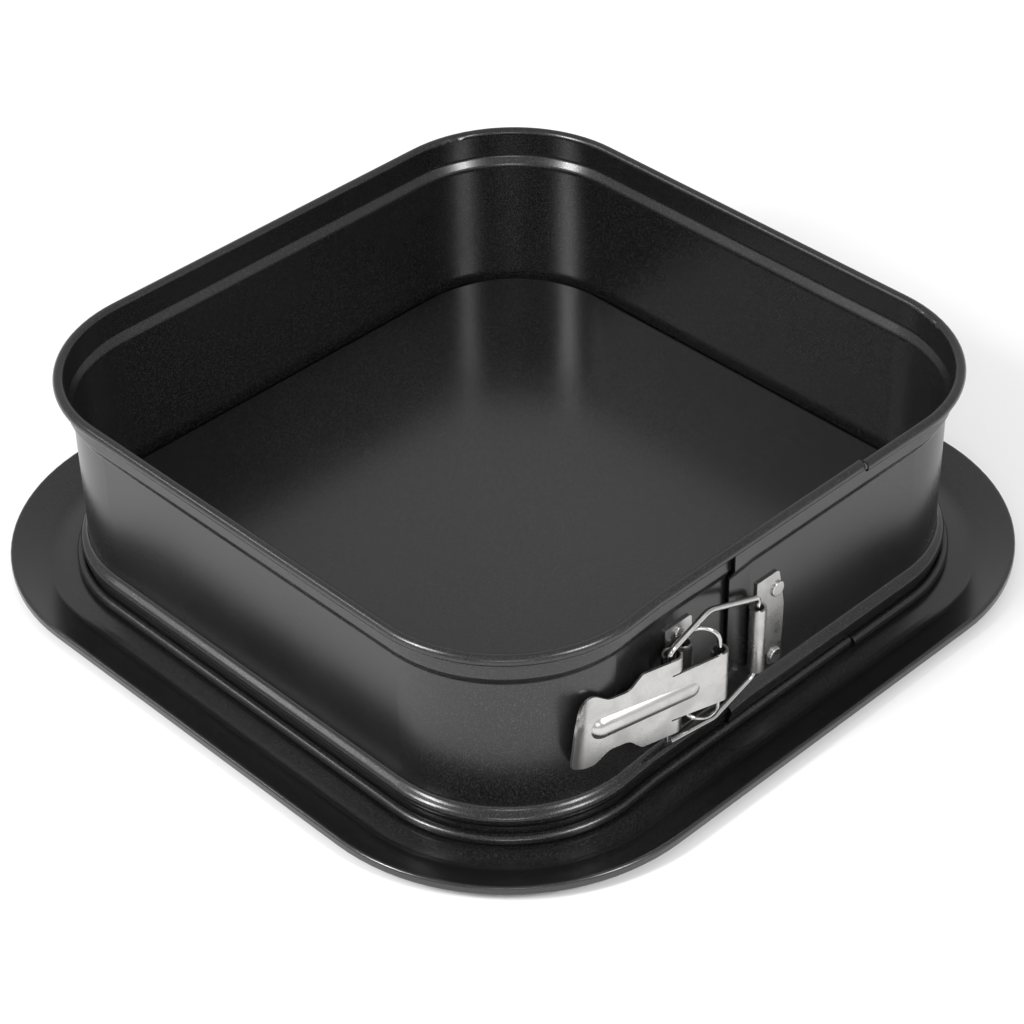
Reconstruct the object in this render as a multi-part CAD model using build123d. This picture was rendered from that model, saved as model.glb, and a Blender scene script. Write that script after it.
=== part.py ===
from build123d import *
import os
from math import atan2, degrees, hypot, radians, tan

# Square springform pan: a tray base with a raised floor, a sprung band that stands round it, and an
# over-centre latch of wire and stamped steel on the band's -Y wall.
# Millimetres. +Z is up, and the origin is on the table under the middle of the tray. Sections of the
# tray and the band are drawn as (distance out from the band's plain wall, height above the table).

# Driving sizes
HALF = 120.0                 # middle of the pan to the band's outer face
CORNER_R = 48.0              # corner radius of the band's outer face
CORNER_AT = HALF - CORNER_R  # corner centres, from the middle along X and Y
BAND_T = 0.6                 # band sheet
TRAY_T = 0.7                 # tray sheet
LATCH_T = 0.8                # bracket and lever sheet

# Tray
FLOOR_TOP = 16.4             # raised floor that the cake stands on
FLOOR_EDGE = -2.05           # side of the raised floor, clear of the band
FLOOR_SHOULDER = 1.8         # bend radius round the raised floor
GROOVE_TOP = 1.2             # level that the band's foot stands over
GROOVE_OUT = 6.5
FOOT_FROM = 11.0             # flat foot of the tray's dish, which rests on the table
FOOT_TO = 14.0
TRAY_OUT = 28.3              # tray's outer edge
LIP_TOP = 7.3
LIP_BOTTOM = 3.4
LIP_HEM = 1.5                # inward turn under the lip

# Band
FOOT_BEAD = (3.3, 3.4)       # centre of the rolled foot
FOOT_BEAD_R = 1.85
FOOT_CURL = 290.0            # degrees that the foot is rolled through
FOOT_TOP = 7.6               # top of the upright run above the rolled foot
SWELL_OUT = 3.1              # outward swell above the foot
SWELL_FROM = 9.6
SWELL_TO = 11.3
WALL_FROM = 13.4             # plain wall, from the swell to the collar
WALL_TO = 65.9
COLLAR_OUT = 2.2
COLLAR_FROM = 69.4
RIM_BEAD = (3.55, 78.45)     # centre of the rolled rim
RIM_BEAD_R = 1.95
RIM_CURL = 250.0             # degrees that the rim is rolled through

# The band's two ends lap on the -Y wall, where the inner end runs under the outer one.
OUTER_END_X = -21.0
OUTER_SPRING_X = -10.0       # from here the outer end springs away from the inner one
OUTER_SPRING = 0.8
INNER_END_X = 40.0
INNER_SHIFT = -1.1           # inner end's outer face, from the plain wall's
SHIFT_DONE_X = -56.0         # where the inner end has reached that shift
CURL_GAP = 0.4               # between the two ends' curls
TONGUE_FROM = 5.7            # the outer end has no curls where it laps, between these levels
TONGUE_TO = 76.1

# Latch pivots: X, and distance out from the band's plain wall. All axes are vertical.
BARREL_R = 2.9               # outer radius of the rolled barrels
BARREL_ROLL = 285.0          # degrees that the barrels are rolled through
FAR_PIVOT = (-9.0, BARREL_R)
NEAR_PIVOT = (-43.0, INNER_SHIFT + BARREL_R)
LEVER_PIVOT = (-35.3, 10.0)
LEVER_TURN = 166.0           # lever's length direction in plan, degrees from +X
FAR_MID_Z = 35.1
LATCH_MID_Z = 41.0           # near bracket and lever

# Latch pieces
FAR_BARREL = 26.0            # barrel lengths
NEAR_BARREL = 25.0
LEVER_BARREL = 19.6
LUG_R = 3.4                  # outer radius of the lever's lugs, which hold the bail
LUG_ROLL = 275.0             # degrees that the lugs are rolled through
LUG_AT = 17.5                # lever pivot to lug centre, along the lever
SLIT_HALF = 9.0              # half height of the lever's tongue between its lugs
SLIT = 0.6
WING_HALF = 15.2             # half height of the lever at its lugs
WAIST_HALF = 10.4
THUMB_HALF = 14.2
THUMB_FROM = 54.5            # where the thumb end bends away from the pan, at the lever's middle
THUMB_ANGLE = 48.0
THUMB_BEND = 9.0
THUMB_SLANT = -0.15          # the bend leans: along the lever for each millimetre of height
LEVER_LENGTH = 58.4
RIB_R = 5.2                  # the rib is pressed to this radius across the lever
RIB_ENDS = ((12.0, 0.9), (45.0, 2.2))  # (along the lever, rise from its face) at each end
LINK_WIRE_R = 0.8
LINK_TOP = 59.3
LINK_BOTTOM = 21.3
BAIL_WIRE_R = 1.05
BAIL_BENDS = (4.5, 3.0, 7.0, 2.6, 1.6, 6.0)  # from the far leg's foot, over the top
BAIL_SET = (-1.25, -0.15)    # bail's leg from the lug's centre, towards the far bracket and the wall
BAIL_FAR_LEG = (19.9, 52.0)  # heights of the legs' ends
BAIL_LUG_LEG = (19.8, 57.8)
BAIL_PEAK = (25.5, 63.0)     # upper and lower corners between the legs, as (from the far leg, height)
BAIL_DIP = (21.5, 14.6)

# Rivets, as (X, height)
FAR_RIVETS = {"upper": (2.6, 47.9), "lower": (2.9, 19.2)}
NEAR_RIVETS = {"upper": (-43.4, 56.8), "lower": (-43.4, 25.2)}
FAR_HEAD_R = 2.9
NEAR_HEAD_R = 2.2
SHANK_R = 1.2
SHANK_PLAY = 0.05
HEAD_H = 0.9
FOOT_R = 2.0
FOOT_H = 0.35


def fused(shapes):
    """One solid from overlapping or touching solids."""
    return Part() + list(shapes)


def strip(lines, thickness):
    """The section of a sheet that is bent along a centre line."""
    return trace(lines, thickness)


def round_the_pan(section, sides):
    """A section carried round all four corners and along the sides named, 0 being +X and 3 being -Y."""
    face = Plane.XZ * Pos(CORNER_R, 0) * section
    corner = Pos(CORNER_AT, CORNER_AT) * revolve(face, Axis.Z, 90)
    run = Pos(CORNER_AT, CORNER_AT) * extrude(face, 2 * CORNER_AT, dir=(0, -1, 0))
    corners = [Rot(0, 0, 90 * k) * corner for k in range(4)]
    return corners + [Rot(0, 0, 90 * k) * run for k in sides]


def front_run(section, x_from, x_to, shift_from=0.0, shift_to=0.0):
    """A section carried along the -Y wall, between two distances out from the plain wall."""
    plane = Plane(origin=(x_from, -HALF - shift_from, 0), x_dir=(0, -1, 0), z_dir=(-1, 0, 0))
    way = Vector(x_to - x_from, shift_from - shift_to, 0)
    return extrude(plane * section, way.length, dir=way)


def tray_section():
    half = TRAY_T / 2
    return strip(
        FilletPolyline(
            (-CORNER_R, FLOOR_TOP - half),
            (FLOOR_EDGE - half, FLOOR_TOP - half),
            (FLOOR_EDGE - half, GROOVE_TOP - half),
            (GROOVE_OUT, GROOVE_TOP - half),
            (FOOT_FROM, half),
            (FOOT_TO, half),
            (TRAY_OUT - half, LIP_TOP - half),
            (TRAY_OUT - half, LIP_BOTTOM + half),
            (TRAY_OUT - half - LIP_HEM, LIP_BOTTOM + half),
            radius=(FLOOR_SHOULDER, 1.2, 8, 8, 6, 0.6, 0.6),
        ),
        TRAY_T,
    )


def base_tray():
    floor = Pos(0, 0, FLOOR_TOP - TRAY_T / 2) * Box(2 * CORNER_AT, 2 * CORNER_AT, TRAY_T)
    return fused([floor] + round_the_pan(tray_section(), range(4)))


def wall_line(bottom, top):
    """Centre line of the band's wall: foot, swell, plain wall and collar."""
    half = BAND_T / 2
    foot = FOOT_BEAD[0] - FOOT_BEAD_R + half
    return FilletPolyline(
        (foot, bottom),
        (foot, FOOT_TOP),
        (SWELL_OUT - half, SWELL_FROM),
        (SWELL_OUT - half, SWELL_TO),
        (-half, WALL_FROM),
        (-half, WALL_TO),
        (COLLAR_OUT - half, COLLAR_FROM),
        (COLLAR_OUT - half, top),
        radius=(0.6, 0.6, 2.2, 3.0, 3.2, 2.4),
    )


def band_section():
    half = BAND_T / 2
    foot_curl = CenterArc(FOOT_BEAD, FOOT_BEAD_R - half, FOOT_CURL - 180, -FOOT_CURL)
    rim_curl = CenterArc(RIM_BEAD, RIM_BEAD_R - half, 180, -RIM_CURL)
    return strip([foot_curl, wall_line(FOOT_BEAD[1], RIM_BEAD[1]), rim_curl], BAND_T)


def along_y(x, out, z, radius, height):
    """A round bar on the -Y wall that stands outwards from a distance out of the plain wall."""
    return Pos(x, -HALF - out - height / 2, z) * Rot(90, 0, 0) * Cylinder(radius, height)


def band():
    plain = band_section()
    tongue = strip(wall_line(TONGUE_FROM, TONGUE_TO), BAND_T)
    lap_start = INNER_END_X + CURL_GAP
    strap = fused(
        round_the_pan(plain, range(3))
        + [
            front_run(plain, CORNER_AT, lap_start),
            front_run(tongue, lap_start, OUTER_SPRING_X),
            front_run(tongue, OUTER_SPRING_X, OUTER_END_X, 0, OUTER_SPRING),
            front_run(plain, -CORNER_AT, SHIFT_DONE_X, 0, INNER_SHIFT),
            front_run(plain, SHIFT_DONE_X, INNER_END_X, INNER_SHIFT, INNER_SHIFT),
        ]
    )
    for rivets, shift in ((FAR_RIVETS, 0), (NEAR_RIVETS, INNER_SHIFT)):
        for x, z in rivets.values():
            strap -= along_y(x, shift - BAND_T, z, SHANK_R + SHANK_PLAY, BAND_T)
    return strap


def rivet(x, z, shift, head_r):
    """A flat-headed rivet through one bracket and one sheet of the band."""
    head = along_y(x, shift + LATCH_T, z, head_r, HEAD_H)
    head = fillet(head.edges().group_by(Axis.Y)[0], HEAD_H / 2)
    shank = along_y(x, shift - BAND_T, z, SHANK_R, BAND_T + LATCH_T)
    foot = along_y(x, shift - BAND_T - FOOT_H, z, FOOT_R, FOOT_H)
    return fused([head, shank, foot])


def curl(centre, radius, turn, length):
    """A vertical barrel rolled from a sheet along X at its +Y side, with its middle at z = 0."""
    roll = strip([CenterArc(centre, radius - LATCH_T / 2, 90, turn)], LATCH_T)
    return Pos(0, 0, -length / 2) * extrude(roll, length)


def bracket(outline, rivets, barrel_length, radii):
    """A riveted plate with a barrel at its left edge, in the wall's plane about the barrel's axis.

    X runs along the wall, -Y outwards from the wall's face and Z up from the barrel's middle.
    """
    plate = extrude(Plane.XZ * make_face(FilletPolyline(*outline, radius=radii, close=True)), LATCH_T)
    for x, z in rivets:
        plate -= Pos(x, -LATCH_T / 2, z) * Rot(90, 0, 0) * Cylinder(SHANK_R + SHANK_PLAY, LATCH_T)
    barrel = curl((0, -BARREL_R), BARREL_R, BARREL_ROLL, barrel_length)
    return fused([plate, barrel])


def far_bracket():
    half = FAR_BARREL / 2
    outline = [
        (0, -half),
        (0, half),
        (1.8, half + 0.6),
        (1.8, 20.1),
        (12.4, 20.1),
        (15.4, 5),
        (15.4, -5),
        (14.6, -18.9),
        (8.2, -18.9),
        (8.2, -half),
    ]
    holes = [(x - FAR_PIVOT[0], z - FAR_MID_Z) for x, z in FAR_RIVETS.values()]
    plate = bracket(outline, holes, FAR_BARREL, (0.1, 0.1, 0.1, 0.4, 1.8, 6, 6, 2.6, 2.6, 0.8))
    return Pos(FAR_PIVOT[0], -HALF, FAR_MID_Z) * plate


def near_bracket():
    half = NEAR_BARREL / 2
    tab = half + 0.8
    outline = [
        (0, -half),
        (0, half),
        (-0.6, tab),
        (-5.8, tab),
        (-5.8, 19.4),
        (6.5, 19.4),
        (6.5, -19.4),
        (-5.8, -19.4),
        (-5.8, -tab),
        (-0.6, -tab),
    ]
    holes = [(NEAR_PIVOT[0] - x, z - LATCH_MID_Z) for x, z in NEAR_RIVETS.values()]
    plate = bracket(outline, holes, NEAR_BARREL, (0.1, 0.1, 0.1, 1.5, 1.5, 0.6, 0.6, 1.5, 1.5, 0.1))
    return Pos(NEAR_PIVOT[0], -HALF - INNER_SHIFT, LATCH_MID_Z) * mirror(plate, Plane.YZ)


def wire_loop(points, radius, bends):
    """A closed loop of round wire through the corners of a flat outline, given as (along, height)."""
    path = Plane.XZ * FilletPolyline(*points, radius=bends, close=True)
    start = path.edges()[0]
    section = Plane(origin=start @ 0.5, z_dir=start % 0.5) * Circle(radius)
    return sweep(section, path=path)


def between(start, end):
    """Places a flat outline in the upright plane from one pivot to another, with its X from start."""
    along = end[0] - start[0]
    out = end[1] - start[1]
    return Pos(start[0], -HALF - start[1], 0) * Rot(0, 0, degrees(atan2(-out, along)))


def link_wire():
    width = hypot(LEVER_PIVOT[0] - NEAR_PIVOT[0], LEVER_PIVOT[1] - NEAR_PIVOT[1])
    corners = [(0, LINK_BOTTOM), (0, LINK_TOP), (width, LINK_TOP), (width, LINK_BOTTOM)]
    return between(NEAR_PIVOT, LEVER_PIVOT) * wire_loop(corners, LINK_WIRE_R, 0.49 * width)


def bail_wire():
    lug = Pos(LEVER_PIVOT[0], -LEVER_PIVOT[1]) * Rot(0, 0, LEVER_TURN) * Pos(LUG_AT, BARREL_R - LUG_R)
    leg = (lug.position.X + BAIL_SET[0], -lug.position.Y - BAIL_SET[1])
    width = hypot(leg[0] - FAR_PIVOT[0], leg[1] - FAR_PIVOT[1])
    far_leg = [(0, z) for z in BAIL_FAR_LEG]
    lug_leg = [(width, z) for z in reversed(BAIL_LUG_LEG)]
    corners = [*far_leg, BAIL_PEAK, *lug_leg, BAIL_DIP]
    return between(FAR_PIVOT, leg) * wire_loop(corners, BAIL_WIRE_R, BAIL_BENDS)


def rib_bar(inset=0.0):
    """A round bar with ball ends that rises towards the thumb end, and whose front is the lever's rib."""
    radius = RIB_R - inset
    start, end = (Vector(along, BARREL_R + rise - RIB_R) for along, rise in RIB_ENDS)
    axis = end - start
    bar = Pos(axis.length / 2, 0) * Rot(0, 90, 0) * Cylinder(radius, axis.length)
    body = fused([bar, Sphere(radius), Pos(axis.length, 0) * Sphere(radius)])
    return Pos(start) * Rot(0, 0, degrees(atan2(axis.Y, axis.X))) * body


def lever_outline():
    """Front outline of the lever: tongue, slits, wings, waist and thumb end."""
    upper = [
        (0, LEVER_BARREL / 2),
        (LUG_AT + 1.9, SLIT_HALF),
        (LUG_AT + 1.9, SLIT_HALF + SLIT),
        (LUG_AT, SLIT_HALF + SLIT),
        (LUG_AT, WING_HALF),
        (30.4, WING_HALF),
        (35.2, WAIST_HALF),
        (42.6, WAIST_HALF),
        (48.0, THUMB_HALF),
        (LEVER_LENGTH, THUMB_HALF),
    ]
    radii = [0.1, 0.2, 0.2, 0.2, 0.1, 2.2, 4.0, 5.0, 3.0, 8.5]
    lower = [(x, -z) for x, z in reversed(upper)]
    return make_face(FilletPolyline(*upper, *lower, radius=radii + radii[::-1], close=True))


def lever_sheet():
    """The lever's plate, flat from its barrel to the thumb end, which bends away from the pan."""
    mid = BARREL_R - LATCH_T / 2
    spare = 10
    rise = (LEVER_LENGTH + spare - THUMB_FROM) * tan(radians(THUMB_ANGLE))
    bend = FilletPolyline(
        (-spare, mid), (THUMB_FROM, mid), (LEVER_LENGTH + spare, mid + rise), radius=THUMB_BEND
    )
    way = Vector(THUMB_SLANT, 0, 1)
    sheet = extrude(strip([bend], LATCH_T), (WING_HALF + 1) * way.length, dir=way, both=True)
    return sheet & extrude(Plane.XZ * lever_outline(), mid + rise, both=True)


def lever_curls():
    """The lever's end barrel and the two lugs rolled from its wings."""
    barrel = curl((0, 0), BARREL_R, BARREL_ROLL, LEVER_BARREL)
    lug_height = WING_HALF - SLIT_HALF - SLIT
    lug = curl((LUG_AT, BARREL_R - LUG_R), LUG_R, LUG_ROLL, lug_height)
    lug_z = WING_HALF - lug_height / 2
    return [barrel, Pos(0, 0, lug_z) * lug, Pos(0, 0, -lug_z) * lug]


def lever():
    front = Pos(LEVER_LENGTH / 2, BARREL_R - LATCH_T + LEVER_LENGTH / 2) * Box(*[LEVER_LENGTH] * 3)
    body = fused([lever_sheet()] + lever_curls())
    body += rib_bar() & front
    body -= rib_bar(LATCH_T)
    return Pos(LEVER_PIVOT[0], -HALF - LEVER_PIVOT[1], LATCH_MID_Z) * Rot(0, 0, LEVER_TURN) * body


def all_parts():
    parts = {
        "base_tray": base_tray(),
        "band": band(),
        "far_bracket": far_bracket(),
        "near_bracket": near_bracket(),
        "link_wire": link_wire(),
        "lever": lever(),
        "bail_wire": bail_wire(),
    }
    for level, (x, z) in FAR_RIVETS.items():
        parts[f"far_rivet_{level}"] = rivet(x, z, 0, FAR_HEAD_R)
    for level, (x, z) in NEAR_RIVETS.items():
        parts[f"near_rivet_{level}"] = rivet(x, z, INNER_SHIFT, NEAR_HEAD_R)
    return parts


os.makedirs("parts", exist_ok=True)
for name, shape in all_parts().items():
    export_step(shape, f"parts/{name}.step")
    print(name, len(shape.solids()), round(shape.volume), shape.is_valid)
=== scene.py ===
from math import cos, radians, sin

import bpy
from mathutils import Matrix, Vector

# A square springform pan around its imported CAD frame: a dark non-stick coat on the tray and the band,
# bright plated steel on the latch, on a white table under soft studio light. Metres throughout.

MM = 0.001

# Camera: it looks down on the corner nearest the latch from in front and to the left.
CAMERA_FOCAL = 2934.5 / 1024  # focal length over image width
CAMERA_AZIMUTH = -43.87
CAMERA_ELEVATION = 38.14
CAMERA_ROLL = -1.16
CAMERA_DISTANCE = 1.0297
CAMERA_SIDE = 0.00045  # sideways and upward moves in the picture plane
CAMERA_RISE = -0.01218
TARGET_HEIGHT = 0.030
SENSOR = 36.0

# Looks: colours, then roughness from the least to the most
COAT_DARK = (0.0035, 0.0035, 0.0037)
COAT_LIGHT = (0.0065, 0.0065, 0.0068)
COAT_FLECK = (0.10, 0.10, 0.10)
PLATE_BRIGHT = (0.50, 0.495, 0.485)
PLATE_DULL = (0.41, 0.405, 0.40)
TABLE_WHITE = (0.93, 0.93, 0.93)
BAND_ROUGH = (0.23, 0.29)
TRAY_ROUGH = (0.21, 0.26)
SHEET_ROUGH = (0.24, 0.36)
WIRE_ROUGH = (0.14, 0.26)
RIVET_ROUGH = (0.20, 0.34)
BAND_IOR = 1.54
TRAY_IOR = 1.63

# Noise scales, in waves over a metre
FLECKS = 2600.0
COAT_GRAIN = 1500.0
BAND_CLOUDS = 14.0
TRAY_CLOUDS = 9.0
PLATE_PATCHES = 110.0
TABLE_CLOUDS = 3.0

# Fine lines in the plating: their noise scale, then its stretch along x, y and z
SHEET_LINES = (700.0, (1.0, 1.0, 0.08))
WIRE_LINES = (900.0, (1.0, 1.0, 0.2))
RIVET_LINES = (600.0, (1.0, 1.0, 1.0))

# Relief of the bumps
COAT_RELIEF = 0.02 * MM
PLATE_RELIEF = 0.03 * MM

# Studio
TABLE_SIDE = 12.0
SKY = 0.64
LIGHT_DISTANCE = 1.7
SHARP_EDGE = 35.0  # degrees between faces
SOFTBOXES = (  # name, azimuth, elevation, (width, height), watts
    ("left", -102.0, 37.4, (0.3, 0.6), 22.0),
    ("right", 2.0, 37.4, (0.3, 0.5), 14.0),
    ("back", -136.0, 38.0, (0.3, 0.3), 2.6),
    ("front", -44.0, 25.0, (0.6, 0.2), 3.0),
)


def new_material(name):
    material = bpy.data.materials.new(name)
    material.use_nodes = True
    tree = material.node_tree
    tree.nodes.clear()
    output = tree.nodes.new("ShaderNodeOutputMaterial")
    shader = tree.nodes.new("ShaderNodeBsdfPrincipled")
    tree.links.new(shader.outputs["BSDF"], output.inputs["Surface"])
    return material, tree, shader


def noise(tree, scale, detail=2.0, roughness=0.5, stretch=None):
    """Noise over the object's own metres, stretched where a direction is given."""
    place = tree.nodes.new("ShaderNodeTexCoord").outputs["Object"]
    if stretch:
        mapping = tree.nodes.new("ShaderNodeMapping")
        mapping.inputs["Scale"].default_value = stretch
        tree.links.new(place, mapping.inputs["Vector"])
        place = mapping.outputs["Vector"]
    node = tree.nodes.new("ShaderNodeTexNoise")
    node.inputs["Scale"].default_value = scale
    node.inputs["Detail"].default_value = detail
    node.inputs["Roughness"].default_value = roughness
    tree.links.new(place, node.inputs["Vector"])
    return node.outputs["Fac"]


def remap(tree, value, low, high, to_low, to_high):
    node = tree.nodes.new("ShaderNodeMapRange")
    node.interpolation_type = "SMOOTHSTEP"
    node.inputs["From Min"].default_value = low
    node.inputs["From Max"].default_value = high
    node.inputs["To Min"].default_value = to_low
    node.inputs["To Max"].default_value = to_high
    tree.links.new(value, node.inputs["Value"])
    return node.outputs["Result"]


def mix_colour(tree, factor, a, b):
    """A colour between a and b, each a colour or another node's output."""
    node = tree.nodes.new("ShaderNodeMix")
    node.data_type = "RGBA"
    tree.links.new(factor, node.inputs["Factor"])
    for socket, value in ((node.inputs[6], a), (node.inputs[7], b)):
        if isinstance(value, tuple):
            socket.default_value = (*value, 1.0)
        else:
            tree.links.new(value, socket)
    return node.outputs[2]


def bump(tree, shader, height, strength, distance):
    node = tree.nodes.new("ShaderNodeBump")
    node.inputs["Strength"].default_value = strength
    node.inputs["Distance"].default_value = distance
    tree.links.new(height, node.inputs["Height"])
    tree.links.new(node.outputs["Normal"], shader.inputs["Normal"])


def coat_material(name, cloud_scale, rough, ior):
    """Dark graphite non-stick coat: satin, with a fine metallic fleck and faint cloudy wear."""
    material, tree, shader = new_material(name)
    cloud = noise(tree, cloud_scale, 4.0, 0.6)
    fleck = noise(tree, FLECKS, 1.0, 0.5)
    grain = noise(tree, COAT_GRAIN, 2.0, 0.6)
    base = mix_colour(tree, remap(tree, cloud, 0.3, 0.7, 0.0, 1.0), COAT_DARK, COAT_LIGHT)
    sparkle = remap(tree, fleck, 0.54, 0.74, 0.0, 1.0)
    tree.links.new(mix_colour(tree, sparkle, base, COAT_FLECK), shader.inputs["Base Color"])
    tree.links.new(sparkle, shader.inputs["Metallic"])
    tree.links.new(remap(tree, cloud, 0.25, 0.75, *rough), shader.inputs["Roughness"])
    shader.inputs["IOR"].default_value = ior
    bump(tree, shader, grain, 0.15, COAT_RELIEF)
    return material


def plated_material(name, lines, rough):
    """Bright nickel-plated steel with fine drawing lines and dull patches."""
    material, tree, shader = new_material(name)
    scale, stretch = lines
    ripple = noise(tree, scale, 3.0, 0.6, stretch)
    patch = noise(tree, PLATE_PATCHES, 4.0, 0.6)
    colour = mix_colour(tree, remap(tree, patch, 0.35, 0.75, 0.0, 1.0), PLATE_BRIGHT, PLATE_DULL)
    tree.links.new(colour, shader.inputs["Base Color"])
    shader.inputs["Metallic"].default_value = 1.0
    tree.links.new(remap(tree, patch, 0.3, 0.7, *rough), shader.inputs["Roughness"])
    bump(tree, shader, ripple, 0.25, PLATE_RELIEF)
    return material


def table_material():
    material, tree, shader = new_material("table_white")
    tone = remap(tree, noise(tree, TABLE_CLOUDS), 0.3, 0.7, 0.0, 1.0)
    darker = tuple(0.98 * c for c in TABLE_WHITE)
    tree.links.new(mix_colour(tree, tone, TABLE_WHITE, darker), shader.inputs["Base Color"])
    shader.inputs["Roughness"].default_value = 0.8
    return material


def dress(frame):
    """Each CAD node's own material, by what it is made of."""
    band = coat_material("band_coat", BAND_CLOUDS, BAND_ROUGH, BAND_IOR)
    tray = coat_material("tray_coat", TRAY_CLOUDS, TRAY_ROUGH, TRAY_IOR)
    sheet = plated_material("latch_sheet", SHEET_LINES, SHEET_ROUGH)
    wire = plated_material("latch_wire", WIRE_LINES, WIRE_ROUGH)
    rivet = plated_material("rivet_steel", RIVET_LINES, RIVET_ROUGH)
    for name, node in frame["nodes"].items():
        if name == "band":
            material = band
        elif name == "base_tray":
            material = tray
        elif "wire" in name:
            material = wire
        elif "rivet" in name:
            material = rivet
        else:
            material = sheet
        node.data.materials.clear()
        node.data.materials.append(material)


def smooth(frame):
    """Round surfaces shade smoothly, and sheet edges stay sharp."""
    for node in frame["nodes"].values():
        for polygon in node.data.polygons:
            polygon.use_smooth = True
        node.data.set_sharp_from_angle(angle=radians(SHARP_EDGE))


def add_camera():
    azimuth, elevation, roll = (radians(a) for a in (CAMERA_AZIMUTH, CAMERA_ELEVATION, CAMERA_ROLL))
    back = Vector((sin(azimuth) * cos(elevation), -cos(azimuth) * cos(elevation), sin(elevation)))
    level = Vector((cos(azimuth), sin(azimuth), 0.0))
    above = back.cross(level)
    right = cos(roll) * level + sin(roll) * above
    up = cos(roll) * above - sin(roll) * level
    target = Vector((0.0, 0.0, TARGET_HEIGHT))
    camera = bpy.data.objects.new("camera", bpy.data.cameras.new("camera"))
    bpy.context.scene.collection.objects.link(camera)
    camera.data.sensor_width = SENSOR
    camera.data.lens = CAMERA_FOCAL * SENSOR
    camera.data.clip_start = 0.05
    place = target + CAMERA_DISTANCE * back + CAMERA_SIDE * right + CAMERA_RISE * up
    turn = Matrix((right, up, back)).transposed()
    camera.matrix_world = Matrix.Translation(place) @ turn.to_4x4()
    bpy.context.scene.camera = camera


def add_softbox(name, azimuth, elevation, size, power):
    """An area light that faces the pan from an azimuth and elevation, as the camera's are given."""
    a, e = radians(azimuth), radians(elevation)
    way = Vector((sin(a) * cos(e), -cos(a) * cos(e), sin(e)))
    light = bpy.data.lights.new(name, "AREA")
    light.shape = "RECTANGLE"
    light.size, light.size_y = size
    light.energy = power
    holder = bpy.data.objects.new(name, light)
    bpy.context.scene.collection.objects.link(holder)
    holder.location = way * LIGHT_DISTANCE
    holder.rotation_euler = way.to_track_quat("Z", "Y").to_euler()


def add_studio():
    bpy.ops.mesh.primitive_plane_add(size=TABLE_SIDE, location=(0.0, 0.0, 0.0))
    table = bpy.context.object
    table.name = "table"
    table.data.materials.append(table_material())
    world = bpy.data.worlds.new("studio")
    world.use_nodes = True
    sky = world.node_tree.nodes["Background"]
    sky.inputs["Color"].default_value = (1.0, 1.0, 1.0, 1.0)
    sky.inputs["Strength"].default_value = SKY
    bpy.context.scene.world = world
    for softbox in SOFTBOXES:
        add_softbox(*softbox)
    bpy.context.scene.view_settings.view_transform = "Standard"


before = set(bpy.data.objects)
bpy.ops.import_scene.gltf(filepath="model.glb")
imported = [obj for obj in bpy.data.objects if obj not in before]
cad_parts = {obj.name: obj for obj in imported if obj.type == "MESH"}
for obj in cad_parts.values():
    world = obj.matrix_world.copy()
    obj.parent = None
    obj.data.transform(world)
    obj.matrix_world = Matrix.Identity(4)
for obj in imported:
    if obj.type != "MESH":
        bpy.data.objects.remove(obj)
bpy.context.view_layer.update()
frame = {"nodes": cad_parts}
smooth(frame)
dress(frame)
add_camera()
add_studio()
